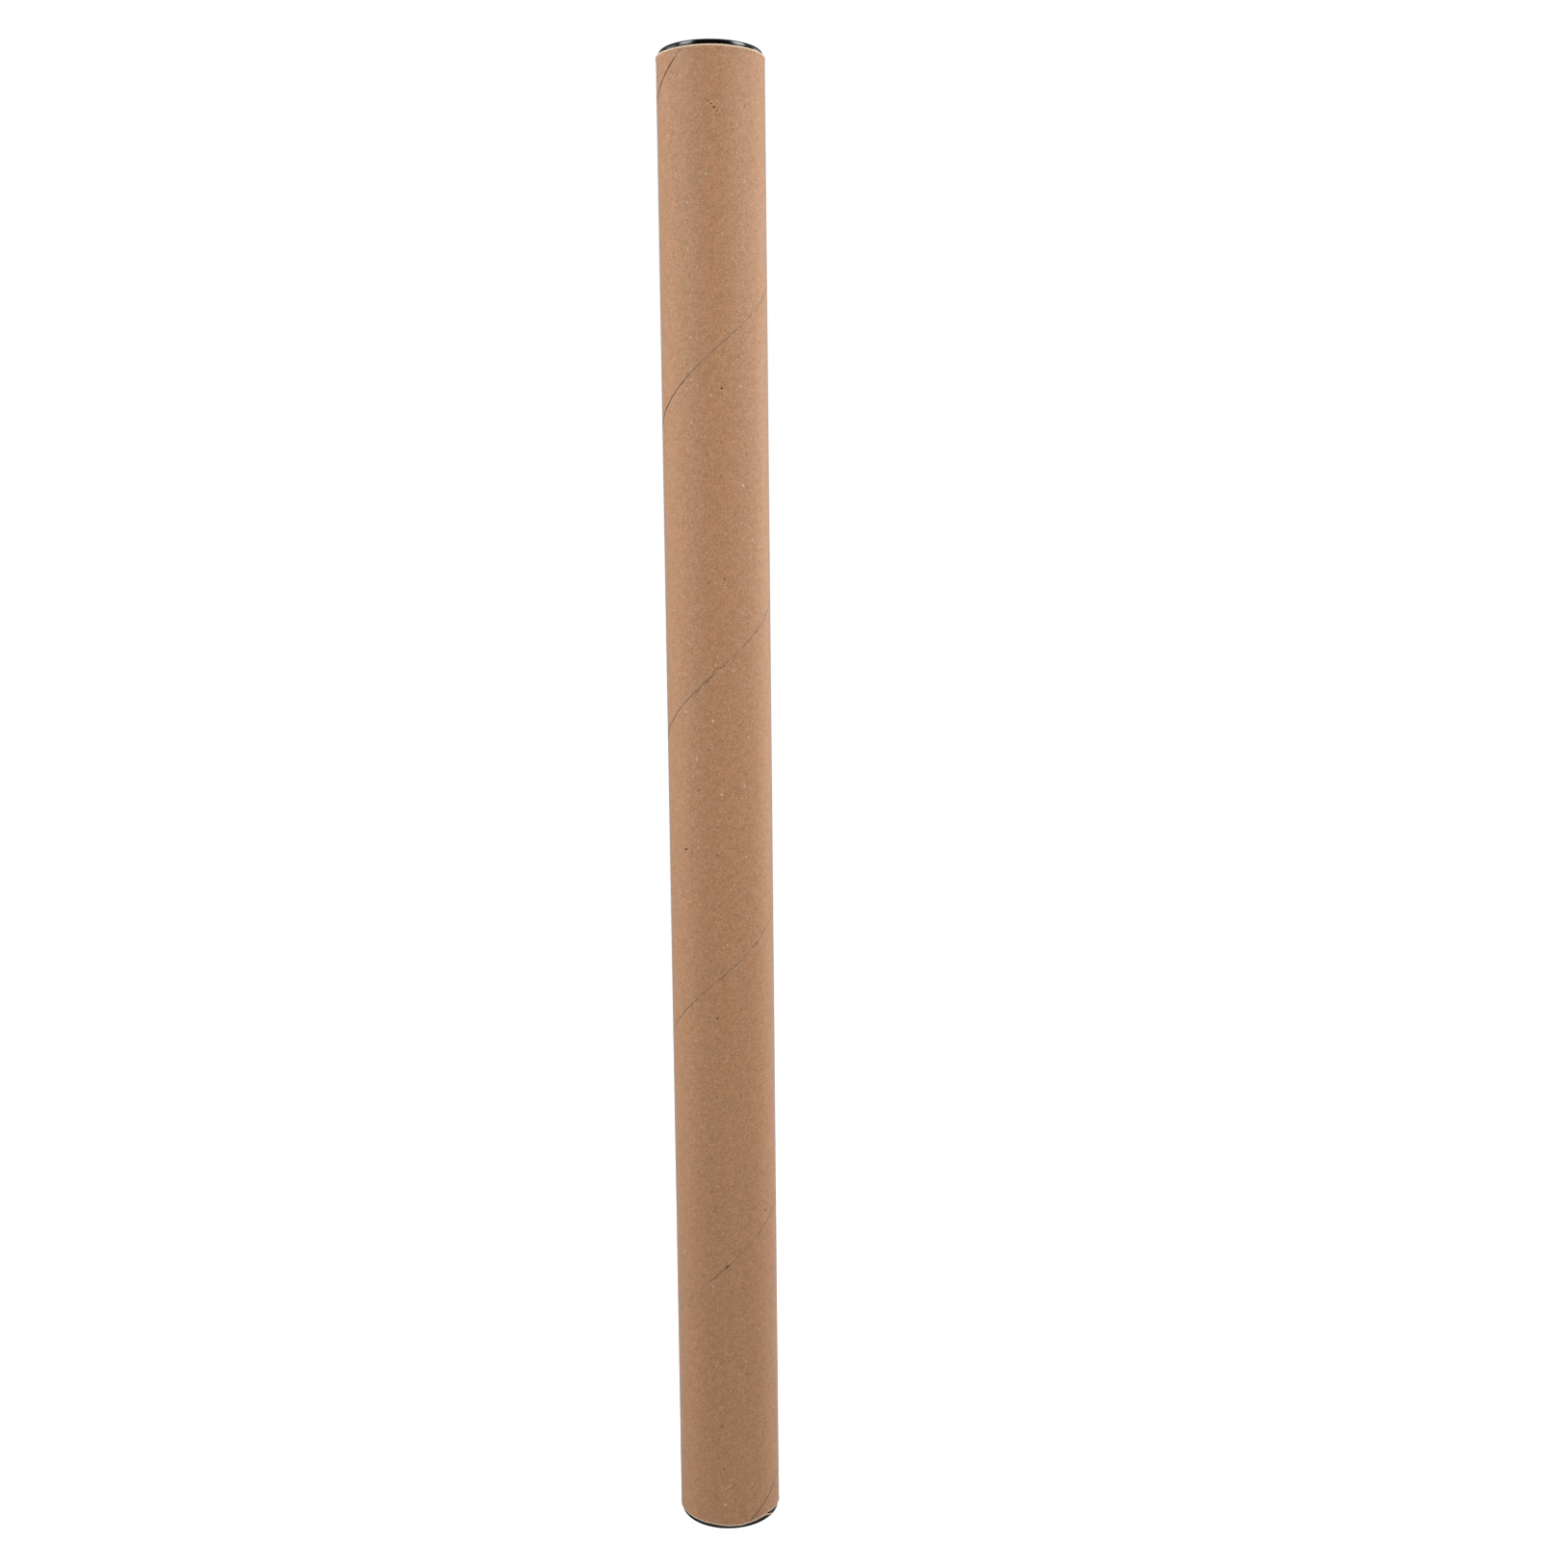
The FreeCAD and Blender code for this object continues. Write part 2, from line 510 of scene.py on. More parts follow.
@dataclass(frozen=True)
class KraftPaper:
    """Kraft liner: unbleached softwood paper made on a machine and calendered on its face.

    It gives the eye a matte tan with a fine cloudy formation, fibres that lie along the strip,
    stray dark and pale specks, and a weak gloss that whitens the sides of the tube.
    """

    name: str
    seam: SpiralSeam
    low: float
    marks: tuple[Mark, ...] = ()
    base: str = "#A0734E"
    # Clouds of the formation, flocs, two layers of fibres, pale and dark knots, and two broad
    # shifts of hue. Real fibres are 0.03 mm wide, too fine to show, so they are drawn wider.
    layers: tuple[tuple[Grain, Tint], ...] = (
        (Grain(5.0, 3.6, 0.0, 4.0, 0.9), Tint("#B68865", 0.25, 0.75, 1.0)),
        (Grain(2.3, 1.7, 0.0, 2.0), Tint("#B98B64", 0.45, 0.75, 0.5)),
        (Grain(2.4, 0.35, 0.0, 2.0), Tint("#C39D80", 0.55, 0.75, 0.35)),
        (Grain(2.4, 0.4, 35.0, 2.0), Tint("#825D3D", 0.45, 0.25, 0.35)),
        (Grain(1.1, 0.7, 0.0, 1.0), Tint("#D2B595", 0.62, 0.8, 0.7)),
        (Grain(1.2, 0.8, 20.0, 1.0), Tint("#7A583C", 0.36, 0.2, 0.6)),
        (Grain(9.0, 8.0, 20.0, 1.0), Tint("#B17D5A", 0.5, 0.65, 0.15)),
        (Grain(11.0, 8.0, 50.0, 1.0), Tint("#A48062", 0.5, 0.35, 0.15)),
    )
    bark: Specks = Specks(0.62, 1.0, Tint("#4C3222", 0.038, 0.016, 0.55))
    knots: Specks = Specks(-1.0, 0.35, Tint("#D9C2AA", 0.046, 0.018, 0.45))
    speck_spacing: float = 15.0
    ruffle_size: float = 0.9
    ruffling: float = 0.9
    # Where a mark is whole and where it is gone, as shares of its own half size
    mark_core: float = 0.4
    mark_rim: float = 1.2
    wear_patches: Grain = Grain(9.0, 3.0, 0.0, 3.0)
    seam_streaks: Grain = Grain(3.2, 0.8, 0.0, 3.0)
    greyed_below: EdgeTint = EdgeTint(2.6, 0.12, Tint("#A08A78", 0.5, 0.75, 0.55))
    greyed_above: EdgeTint = EdgeTint(1.6, 0.05, Tint("#A08A78", 0.5, 0.75, 0.4))
    # Pale edge below the seam: wear, and a painted highlight where the lifted edge faces the light
    # from above
    worn_and_lit_below: EdgeTint = EdgeTint(1.2, 0.27, Tint("#C9B29D", 0.62, 0.85, 0.7))
    worn_above: EdgeTint = EdgeTint(0.8, 0.16, Tint("#C9B29D", 0.62, 0.9, 0.45))
    # How far from the edge each tint is full, and the level that it falls to at its reach
    tint_full: float = 0.15
    tint_gone: float = -0.5
    # Painted shade in the open seam's groove, partly a glue stain, laid in patches
    groove_shade_and_stain: Tint = Tint("#623D20", 0.12, 0.5, 1.0)
    # In metres from the cut edge
    frayed: Tint = Tint("#D6BFA4", 0.5 * MM, 0.15 * MM, 0.9)
    fray_size: float = 0.9
    fray_reach: float = 1.0
    roughness: float = 0.6
    ior: float = 1.5
    gloss: float = 0.35
    fuzz: float = 0.9
    fuzz_spread: float = 0.3
    relief: float = 0.03
    relief_strength: float = 0.5

    def build(self) -> Material:
        """Makes the paper's material.

        Returns:
            The material, which reads the strip's map and the board's attributes.
        """
        material = blank_material(self.name)
        tree = material.node_tree
        strip = add_node(tree, "UVMap", {"uv_map": STRIP_MAP}).outputs["UV"]
        body = add_node(tree, "TexCoord").outputs["Object"]

        colour: Socket | Colour = linear(self.base)
        patterns = []
        for grain, tint in self.layers:
            patterns.append(grain.lay(tree, strip))
            colour = tint.lay(tree, colour, patterns[-1])
        colour = self.scatter_specks(tree, strip, colour)
        if self.marks:
            colour = self.draw_marks(tree, body, colour)
            colour = self.tint_seam_edges(tree, strip, colour)
            colour = self.shade_groove_and_stain(tree, strip, colour)
            colour = self.fray_ends(tree, body, colour)

        height = add_node(tree, "Math", {"operation": "ADD"}, {0: patterns[0], 1: patterns[1]})
        coat(material, height.outputs["Value"], self.relief, self.relief_strength, {
            "Base Color": colour,
            "Roughness": self.roughness,
            "IOR": self.ior,
            "Specular IOR Level": self.gloss,
            "Sheen Weight": self.fuzz,
            "Sheen Roughness": self.fuzz_spread,
        })
        return material

    def ruffle(self, tree: Tree, vector: Socket) -> Socket:
        """Shifts coordinates a little to and fro, so that no spot is a true circle.

        Args:
            tree: the material's node tree.
            vector: the coordinates in metres.

        Returns:
            The ruffled coordinates' socket.
        """
        push = self.ruffling * MM
        waves = add_node(
            tree, "TexNoise", {}, {"Vector": vector, "Scale": 1 / (self.ruffle_size * MM)}
        )
        pushed = add_node(
            tree, "VectorMath", {"operation": "MULTIPLY_ADD"},
            {0: waves.outputs["Color"], 1: (push,) * 3, 2: vector},
        )
        centred = add_node(
            tree, "VectorMath", {"operation": "SUBTRACT"},
            {0: pushed.outputs["Vector"], 1: (push / 2,) * 3},
        )
        return centred.outputs["Vector"]

    def scatter_specks(self, tree: Tree, strip: Socket, colour: Socket) -> Socket:
        """Scatters a few bark specks and pale fibre knots over the strip.

        Args:
            tree: the material's node tree.
            strip: the paper strip's own coordinates.
            colour: the paper's colour so far.

        Returns:
            The colour's socket with the specks on it.
        """
        cells = add_node(
            tree, "TexVoronoi", {"voronoi_dimensions": "2D"},
            {"Vector": self.ruffle(tree, strip), "Scale": 1 / (self.speck_spacing * MM)},
        )
        chance = add_node(tree, "SeparateColor", {}, {"Color": cells.outputs["Color"]})
        # The chance decides whether a cell has a speck, and the distance draws it
        for specks in (self.bark, self.knots):
            middle = (specks.low + specks.high) / 2
            off = add_node(
                tree, "Math", {"operation": "COMPARE"},
                {0: chance.outputs["Red"], 1: middle, 2: specks.high - middle},
            )
            missing = add_node(
                tree, "Math", {"operation": "SUBTRACT"}, {0: 1.0, 1: off.outputs["Value"]}
            )
            shown = add_node(
                tree, "Math", {"operation": "ADD"},
                {0: cells.outputs["Distance"], 1: missing.outputs["Value"]},
            )
            colour = specks.tint.lay(tree, colour, shown.outputs["Value"])
        return colour

    def draw_marks(self, tree: Tree, body: Socket, colour: Socket) -> Socket:
        """Draws the paper's own marks, each a little ruffled so that none is a true oval.

        Args:
            tree: the material's node tree.
            body: the object's coordinates.
            colour: the paper's colour so far.

        Returns:
            The colour's socket with the marks on it.
        """
        ruffled = self.ruffle(tree, body)
        for tone, specks in ((Tone.LIGHT, self.knots), (Tone.DARK, self.bark)):
            cover: Socket | float = 0.0
            for mark in (item for item in self.marks if item.tone is tone):
                centre = place(mark.azimuth, self.seam.radius, self.low + mark.height)
                local = add_node(
                    tree, "Mapping", {"vector_type": "TEXTURE"},
                    {
                        "Vector": ruffled,
                        "Location": centre,
                        "Rotation": (0.0, math.radians(-mark.tilt), math.radians(mark.azimuth)),
                        "Scale": (mark.length * MM / 2, mark.length * MM, mark.width * MM / 2),
                    },
                )
                reach = add_node(
                    tree, "VectorMath", {"operation": "LENGTH"}, {0: local.outputs["Vector"]}
                )
                spot = add_node(
                    tree, "MapRange", EASED,
                    {
                        "Value": reach.outputs["Value"],
                        "From Min": self.mark_core,
                        "From Max": self.mark_rim,
                        "To Min": mark.strength,
                        "To Max": 0.0,
                    },
                )
                widest = add_node(
                    tree, "Math", {"operation": "MAXIMUM"}, {0: spot.outputs["Result"], 1: cover}
                )
                cover = widest.outputs["Value"]
            colour = Tint(specks.tint.colour, 0.0, 1.0, 1.0).lay(tree, colour, cover)
        return colour

    def tint_seam_edges(self, tree: Tree, strip: Socket, colour: Socket) -> Socket:
        """Pales and greys the strip's edges, which rub and pick up glue and dust; below the seam
        the pale edge is partly a painted highlight.

        Args:
            tree: the material's node tree.
            strip: the paper strip's own coordinates.
            colour: the paper's colour so far.

        Returns:
            The colour's socket with the wear on it.
        """
        across = add_node(tree, "SeparateXYZ", {}, {"Vector": strip}).outputs["Y"]
        from_far_edge = add_node(
            tree, "Math", {"operation": "SUBTRACT"}, {0: self.seam.strip_width * MM, 1: across}
        )
        patches = self.wear_patches.lay(tree, strip)
        streaks = self.seam_streaks.lay(tree, strip)
        below = from_far_edge.outputs["Value"]
        for edge, grain, edge_tint in (
            (below, patches, self.greyed_below),
            (across, patches, self.greyed_above),
            (below, streaks, self.worn_and_lit_below),
            (across, streaks, self.worn_above),
        ):
            near = add_node(
                tree, "MapRange", EASED,
                {
                    "Value": edge,
                    "From Min": self.tint_full * MM,
                    "From Max": edge_tint.reach * MM,
                    "To Min": edge_tint.lift,
                    "To Max": self.tint_gone,
                },
            )
            edge_cover = add_node(
                tree, "Math", {"operation": "ADD"}, {0: grain, 1: near.outputs["Result"]}
            )
            # Below the seam the pale tint is partly a painted highlight
            colour = edge_tint.tint.lay(tree, colour, edge_cover.outputs["Value"])
        return colour

    def shade_groove_and_stain(self, tree: Tree, strip: Socket, colour: Socket) -> Socket:
        """Darkens the ply that shows in the open seam with painted shade, partly a stain of glue
        and dust.

        Args:
            tree: the material's node tree.
            strip: the paper strip's own coordinates.
            colour: the paper's colour so far.

        Returns:
            The colour's socket with the stain on it.
        """
        groove = add_node(tree, "Attribute", {"attribute_name": IN_GROOVE})
        patchy = add_node(
            tree, "Math", {"operation": "MULTIPLY"},
            {0: groove.outputs["Fac"], 1: self.seam_streaks.lay(tree, strip)},
        )
        # The groove's dark is painted shade, partly a glue stain
        return self.groove_shade_and_stain.lay(tree, colour, patchy.outputs["Value"])

    def fray_ends(self, tree: Tree, body: Socket, colour: Socket) -> Socket:
        """Pales the face along both cut ends, where the knife raised a fuzz of fibres.

        Args:
            tree: the material's node tree.
            body: the object's coordinates.
            colour: the paper's colour so far.

        Returns:
            The colour's socket with the frayed ends on it.
        """
        away = add_node(tree, "Attribute", {"attribute_name": FROM_CUT})
        fuzz = add_node(
            tree, "TexNoise", {},
            {"Vector": body, "Scale": 1 / (self.fray_size * MM), "Detail": 3.0},
        )
        ragged = add_node(
            tree, "Math", {"operation": "MULTIPLY_ADD"},
            {0: fuzz.outputs["Fac"], 1: -self.fray_reach * MM, 2: away.outputs["Fac"]},
        )
        return self.frayed.lay(tree, colour, ragged.outputs["Value"])


@dataclass(frozen=True)
class CutBoard:
    """Paperboard cut by a rotary knife: raw plies on edge, paler and fuzzier than the face."""

    name: str
    base: str = "#C6AB8F"
    glue: str = "#8C6C50"
    # The thickness of a ply, and the share of it that its glue line darkens
    ply: float = 0.4
    glue_share: float = 0.2
    glue_cover: float = 0.7
    shadow: Tint = Tint("#8C6C50", 0.5, 0.3, 0.4)
    fuzz: float = 0.5
    roughness: float = 0.85
    ior: float = 1.5
    relief: float = 0.06
    relief_strength: float = 0.8

    def build(self) -> Material:
        """Makes the cut edge's material, whose rings are the plies and their glue lines.

        Returns:
            The material, which reads the object's coordinates.
        """
        material = blank_material(self.name)
        tree = material.node_tree
        body = add_node(tree, "TexCoord").outputs["Object"]
        flat = add_node(
            tree, "VectorMath", {"operation": "MULTIPLY"}, {0: body, 1: (1.0, 1.0, 0.0)}
        )
        radius = add_node(tree, "VectorMath", {"operation": "LENGTH"}, {0: flat.outputs["Vector"]})
        plies = add_node(
            tree, "Math", {"operation": "PINGPONG"},
            {0: radius.outputs["Value"], 1: self.ply * MM / 2},
        )
        grain = add_node(
            tree, "TexNoise", {}, {"Vector": body, "Scale": 1 / (self.fuzz * MM), "Detail": 4.0}
        )
        glued = Tint(self.glue, self.ply * self.glue_share * MM, 0.0, self.glue_cover)
        colour = glued.lay(tree, linear(self.base), plies.outputs["Value"])
        colour = self.shadow.lay(tree, colour, grain.outputs["Fac"])
        coat(material, grain.outputs["Fac"], self.relief, self.relief_strength, {
            "Base Color": colour,
            "Roughness": self.roughness,
            "IOR": self.ior,
        })
        return material


@dataclass(frozen=True)
class MouldedPolyethylene:
    """Black low-density polyethylene, injection moulded in a polished tool.

    It gives the eye a deep black with soft bright reflections, a little broken by shrink
    waves and by fine rub marks.
    """

    name: str
    base: str = "#09080A"
    rubbed: Tint = Tint("#121114", 0.52, 0.7, 1.0)
    wave: float = 7.0
    wave_relief: float = 0.05
    wave_strength: float = 0.3
    # Real rub marks are finer, and are drawn as coarse as they need to show
    scuff: float = 0.8
    scuff_levels: tuple[float, float] = (0.3, 0.7)
    roughness: tuple[float, float] = (0.12, 0.2025)
    ior: float = 1.51
    gloss: float = 0.42

    def build(self) -> Material:
        """Makes the plastic's material.

        Returns:
            The material, which reads the object's coordinates.
        """
        material = blank_material(self.name)
        tree = material.node_tree
        body = add_node(tree, "TexCoord").outputs["Object"]
        waves = add_node(tree, "TexNoise", {}, {"Vector": body, "Scale": 1 / (self.wave * MM)})
        scuffs = add_node(
            tree, "TexNoise", {}, {"Vector": body, "Scale": 1 / (self.scuff * MM), "Detail": 5.0}
        )
        colour = self.rubbed.lay(tree, linear(self.base), scuffs.outputs["Fac"])
        rough = add_node(
            tree, "MapRange", {},
            {
                "Value": scuffs.outputs["Fac"],
                "From Min": self.scuff_levels[0],
                "From Max": self.scuff_levels[1],
                "To Min": self.roughness[0],
                "To Max": self.roughness[1],
            },
        )
        coat(material, waves.outputs["Fac"], self.wave_relief, self.wave_strength, {
            "Base Color": colour,
            "Roughness": rough.outputs["Result"],
            "IOR": self.ior,
            "Specular IOR Level": self.gloss,
        })
        return material


@dataclass
class WoundTube:
    """The paperboard tube: a helically wound outer ply over a wall that is cut at both ends."""

    seam: SpiralSeam
    low: float
    high: float
    wall: float = 1.6
    cut_radius: float = 0.3
    columns: int = 320
    lip_rows: tuple[float, ...] = (0.0, 0.14, 0.5, 1.4, 4.0)
    plain_rows: int = 6
    end_rows: tuple[float, ...] = (0.09, 0.3, 1.2, 2.6, 4.5)
    cut_rings: tuple[float, ...] = (0.65, 1.0, 1.08, 1.6)
    burr_depth: float = 1.02
    burr: float = 0.05
    bore_margin: float = 0.05
    groove_floor: float = 0.9
    lip_lift: float = 0.035
    lip_wave: float = 0.12
    # Where the lips' lift, the uneven gap and the wander fade out beside the seam
    lift_fade: tuple[float, float] = (0.1, 1.4)
    gap_fade: tuple[float, float] = (0.1, 3.5)
    wander_fade: tuple[float, float] = (5.0, 40.0)
    lower_edge: Table = (
        (-75, 0.0), (-59, 0.4), (-46, 0.15), (-22, 0.1), (-12, -0.2), (-3, -0.5), (12, -0.5),
        (19, -0.2), (27, 0.15), (36, 0.5), (42, 0.95), (49, 1.6), (57, 1.25), (66, 0.8), (76, 0.55),
        (88, 0.0),
    )
    upper_edge: Table = (
        (-75, 0.0), (-50, -0.3), (-20, -0.45), (20, -0.45), (50, -0.2), (75, 0.0),
    )
    edge_fray: float = 0.09
    coarse_edge: float = 9.0
    fine_edge: float = 40.0
    fine_share: float = 0.6
    top_flare: float = 0.2
    bottom_flare: float = 0.1
    flare_length: float = 3.0
    crease: float = 38.0

    @property
    def outer(self) -> float:
        """The outer radius of the board."""
        return self.seam.radius

    @property
    def length(self) -> float:
        """The length of the board from cut to cut."""
        return self.high - self.low

    def section(self) -> list[Vector]:
        """Gives one pitch of the outer ply's profile, from the middle of a seam to the next.

        Returns:
            Points in millimetres, x the radius and z the height above the lower seam.
        """
        half = self.seam.plain_half
        pitch = self.seam.pitch
        floor = self.outer - self.seam.depth
        rows = [(floor, 0.0), (floor, half * self.groove_floor)]
        rows.extend((self.outer, half + away) for away in self.lip_rows)
        first = half + self.lip_rows[-1]
        span = pitch - 2 * first
        for number in range(1, self.plain_rows):
            rows.append((self.outer, first + span * number / self.plain_rows))
        rows.extend((self.outer, pitch - half - away) for away in reversed(self.lip_rows))
        rows.extend([(floor, pitch - half * self.groove_floor), (floor, pitch)])
        return [Vector((radius, 0.0, height)) for radius, height in rows]

    def wind(self, mesh: Mesh) -> None:
        """Winds the profile up the tube and trims it square at both ends.

        Args:
            mesh: the empty mesh to build in.
        """
        pitch = self.seam.pitch
        # One pitch below the cut edge, on the azimuth where the seam leaves the cut edge
        lift = Matrix.Translation((0.0, 0.0, self.low - pitch))
        turned = Matrix.Rotation(math.radians(self.seam.start - 90.0), 4, "Z")
        points = [turned @ lift @ point * MM for point in self.section()]
        corners = [mesh.verts.new(point) for point in points]
        edges = [mesh.edges.new(pair) for pair in zip(corners, corners[1:])]
        bmesh.ops.spin(
            mesh,
            geom=corners + edges,
            cent=(0.0, 0.0, 0.0),
            axis=(0.0, 0.0, 1.0),
            dvec=(0.0, 0.0, pitch * MM / self.columns),
            angle=2 * math.pi,
            steps=self.columns,
        )
        one_turn = mesh.verts[:] + mesh.edges[:] + mesh.faces[:]
        for number in range(1, math.ceil(self.length / pitch) + 1):
            copied = bmesh.ops.duplicate(mesh, geom=one_turn)["geom"]
            verts = [item for item in copied if isinstance(item, bmesh.types.BMVert)]
            bmesh.ops.translate(mesh, vec=(0.0, 0.0, number * pitch * MM), verts=verts)
        bmesh.ops.remove_doubles(mesh, verts=mesh.verts, dist=TOUCHING * MM)
        self.slice(mesh, self.low, clear_below=True)
        self.slice(mesh, self.high, clear_above=True)
        for row in self.end_rows:
            self.slice(mesh, self.low + row)
            self.slice(mesh, self.high - row)

    def slice(
        self, mesh: Mesh, height: float, clear_below: bool = False, clear_above: bool = False
    ) -> None:
        """Cuts the mesh level at a height, and may drop what lies below or above it.

        Args:
            mesh: the mesh to cut.
            height: the height of the cut in the part's own frame, in millimetres.
            clear_below: whether what lies below the cut goes.
            clear_above: whether what lies above the cut goes.
        """
        bmesh.ops.bisect_plane(
            mesh,
            geom=mesh.verts[:] + mesh.edges[:] + mesh.faces[:],
            dist=TOUCHING / 2 * MM,
            plane_co=(0.0, 0.0, height * MM),
            plane_no=(0.0, 0.0, 1.0),
            clear_inner=clear_below,
            clear_outer=clear_above,
        )

    def unroll(self, mesh: Mesh) -> None:
        """Gives the evenly wound ply a map in metres, x along the strip and y across it.

        Args:
            mesh: the ply before its edges wander, so that the map follows them when they do.
        """
        layer = mesh.loops.layers.uv.new(STRIP_MAP)
        slope = self.seam.slope
        around = 2 * math.pi * self.outer
        for face in mesh.faces:
            centre = face.calc_center_median()
            middle = azimuth_of(centre)
            turn = math.floor(self.seam.turns(middle, centre.z / MM - self.low))
            for corner in face.loops:
                azimuth = azimuth_near(corner.vert.co, middle)
                wound = (azimuth - self.seam.start) / FULL_TURN + turn
                rise = corner.vert.co.z / MM - self.low
                x = around * wound * math.cos(slope) + rise * math.sin(slope)
                y = (rise - self.seam.pitch * wound) * math.cos(slope)
                corner[layer].uv = (x * MM, y * MM)

    def shape(self, mesh: Mesh) -> None:
        """Gives the ply its wandering, ragged and lifted edges, and its round, cut ends.

        Args:
            mesh: the wound and trimmed outer ply.
        """
        half = self.seam.plain_half
        from_cut = mesh.verts.layers.float.new(FROM_CUT)
        in_groove = mesh.verts.layers.float.new(IN_GROOVE)
        for vert in mesh.verts:
            azimuth = azimuth_of(vert.co)
            height = vert.co.z / MM - self.low
            from_end = min(height, self.length - height)
            turns = self.seam.turns(azimuth, height)
            away = (turns - round(turns)) * self.seam.pitch
            side = 1.0 if away > 0 else -1.0
            seam_height = height - away
            beyond = abs(away) - half
            radius = vert.co.xy.length / MM
            sunk = radius < self.outer - self.seam.depth / 2
            vert[from_cut] = from_end * MM
            vert[in_groove] = 1.0 if sunk else 0.0

            settled = 1.0 - smooth_step(*self.wander_fade, abs(away))
            shift = self.seam.wander(seam_height) * settled
            if abs(away) > half / 2:
                pull = 1.0 - smooth_step(*self.gap_fade, beyond)
                shift += side * (self.seam.half_gap(seam_height, side) - half) * pull
            if not sunk:
                # The noise is about as often below 0 as above it, so half is added
                curl = 0.5 + noise.noise(Vector((seam_height * self.lip_wave, side, 3.0)))
                lift = self.lip_lift * max(curl, 0.0)
                radius += lift * (1.0 - smooth_step(*self.lift_fade, beyond))
            if from_end < self.cut_radius:
                drop = min(self.cut_radius - from_end, self.cut_radius)
                radius -= self.cut_radius - math.sqrt(self.cut_radius ** 2 - drop ** 2)
            flare = self.bottom_flare if height < self.length / 2 else self.top_flare
            radius += flare * (1.0 - smooth_step(0.0, self.flare_length, from_end))
            # A turn moves the seam up or down and leaves the cut ends level
            azimuth -= shift * FULL_TURN / self.seam.pitch
            level = self.low + height + self.cut_line(azimuth, height)
            vert.co = place(azimuth, radius, level)

    def cut_line(self, azimuth: float, height: float) -> float:
        """Gives how far a cut end's line rises at an azimuth, fading away from the end.

        Args:
            azimuth: degrees from the front.
            height: millimetres above the lower cut edge.

        Returns:
            Millimetres along the tube's axis.
        """
        lower = height < self.length / 2
        from_end = height if lower else self.length - height
        fade = 1.0 - smooth_step(0.0, self.end_rows[-1], from_end)
        if fade == 0.0:
            return 0.0
        turn = math.radians(azimuth)
        # The third coordinate gives the two ends lines of their own
        spot = Vector((math.sin(turn), math.cos(turn), 0.3 if lower else 0.9))
        coarse = noise.noise(spot * self.coarse_edge)
        rough = coarse + self.fine_share * noise.noise(spot * self.fine_edge)
        line = along(self.lower_edge if lower else self.upper_edge, azimuth)
        return (line + self.edge_fray * rough) * fade

    def close_wall(self, mesh: Mesh) -> None:
        """Runs the cut edges in over the plies and joins them by the wall of the bore.

        Args:
            mesh: the shaped outer ply, open at both ends.
        """
        middle = (self.low + self.high) / 2 * MM
        loops = []
        for lower in (True, False):
            rim = [
                edge for edge in mesh.edges
                if edge.is_boundary and (edge.verts[0].co.z < middle) is lower
            ]
            end = self.low if lower else self.high
            for depth in self.cut_rings:
                grown = bmesh.ops.extrude_edge_only(mesh, edges=rim)["geom"]
                for vert in (item for item in grown if isinstance(item, bmesh.types.BMVert)):
                    move_out(vert, self.outer - depth)
                    if depth > self.burr_depth:
                        # Inside the burr the board only stands off the plug's rim
                        vert.co.z = max(vert.co.z, end * MM) if lower else end * MM
                    else:
                        # Each ring has a burr of its own
                        spot = vert.co * (1 / MM) + Vector((0.0, 0.0, depth * 9.0))
                        vert.co.z += self.burr * noise.noise(spot) * MM
                rim = [item for item in grown if isinstance(item, bmesh.types.BMEdge)]
                rim = [edge for edge in rim if edge.is_boundary]
            loops.extend(rim)
        bmesh.ops.bridge_loops(mesh, edges=loops)

    def line_bore(self, mesh: Mesh) -> None:
        """Gives the bore's faces a map in metres, x round the bore and y along it.

        Args:
            mesh: the closed board.
        """
        layer = mesh.loops.layers.uv[STRIP_MAP]
        bore = self.outer - self.wall
        for face in mesh.faces:
            centre = face.calc_center_median()
            if centre.xy.length > (bore + self.wall / 2) * MM:
                continue
            middle = azimuth_of(centre)
            for corner in face.loops:
                turn = math.radians(azimuth_near(corner.vert.co, middle))
                corner[layer].uv = (turn * bore * MM, corner.vert.co.z)

    def dress(self, mesh: Mesh) -> None:
        """Gives each face the finish of the ply or the cut that it belongs to.

        Args:
            mesh: the closed board.
        """
        for face in mesh.faces:
            centre = face.calc_center_median()
            depth = self.outer - centre.xy.length / MM
            height = centre.z / MM - self.low
            from_end = min(height, self.length - height)
            kind = Surface.OUTER_PLY
            if depth > self.wall - self.bore_margin:
                kind = Surface.INNER_PLY
            elif from_end < self.end_rows[2] and depth > self.cut_radius / 2:
                kind = Surface.CUT_EDGE
            face.material_index = kind.value

    def build(self) -> bpy.types.Object:
        """Makes the tube's piece, which stands for the CAD tube.

        Returns:
            The object.
        """
        mesh = bmesh.new()
        self.wind(mesh)
        self.unroll(mesh)
        self.shape(mesh)
        self.close_wall(mesh)
        self.line_bore(mesh)
        shade(mesh, self.crease)
        self.dress(mesh)
        outer = KraftPaper("kraft_liner_outer_ply", self.seam, self.low, MARKS)
        inner = KraftPaper("kraft_liner_inner_ply", self.seam, self.low)
        materials = [outer.build(), CutBoard("cut_paperboard").build(), inner.build()]
        piece = to_piece("wound_tube", mesh, materials, "tube")
        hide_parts("tube")
        return piece


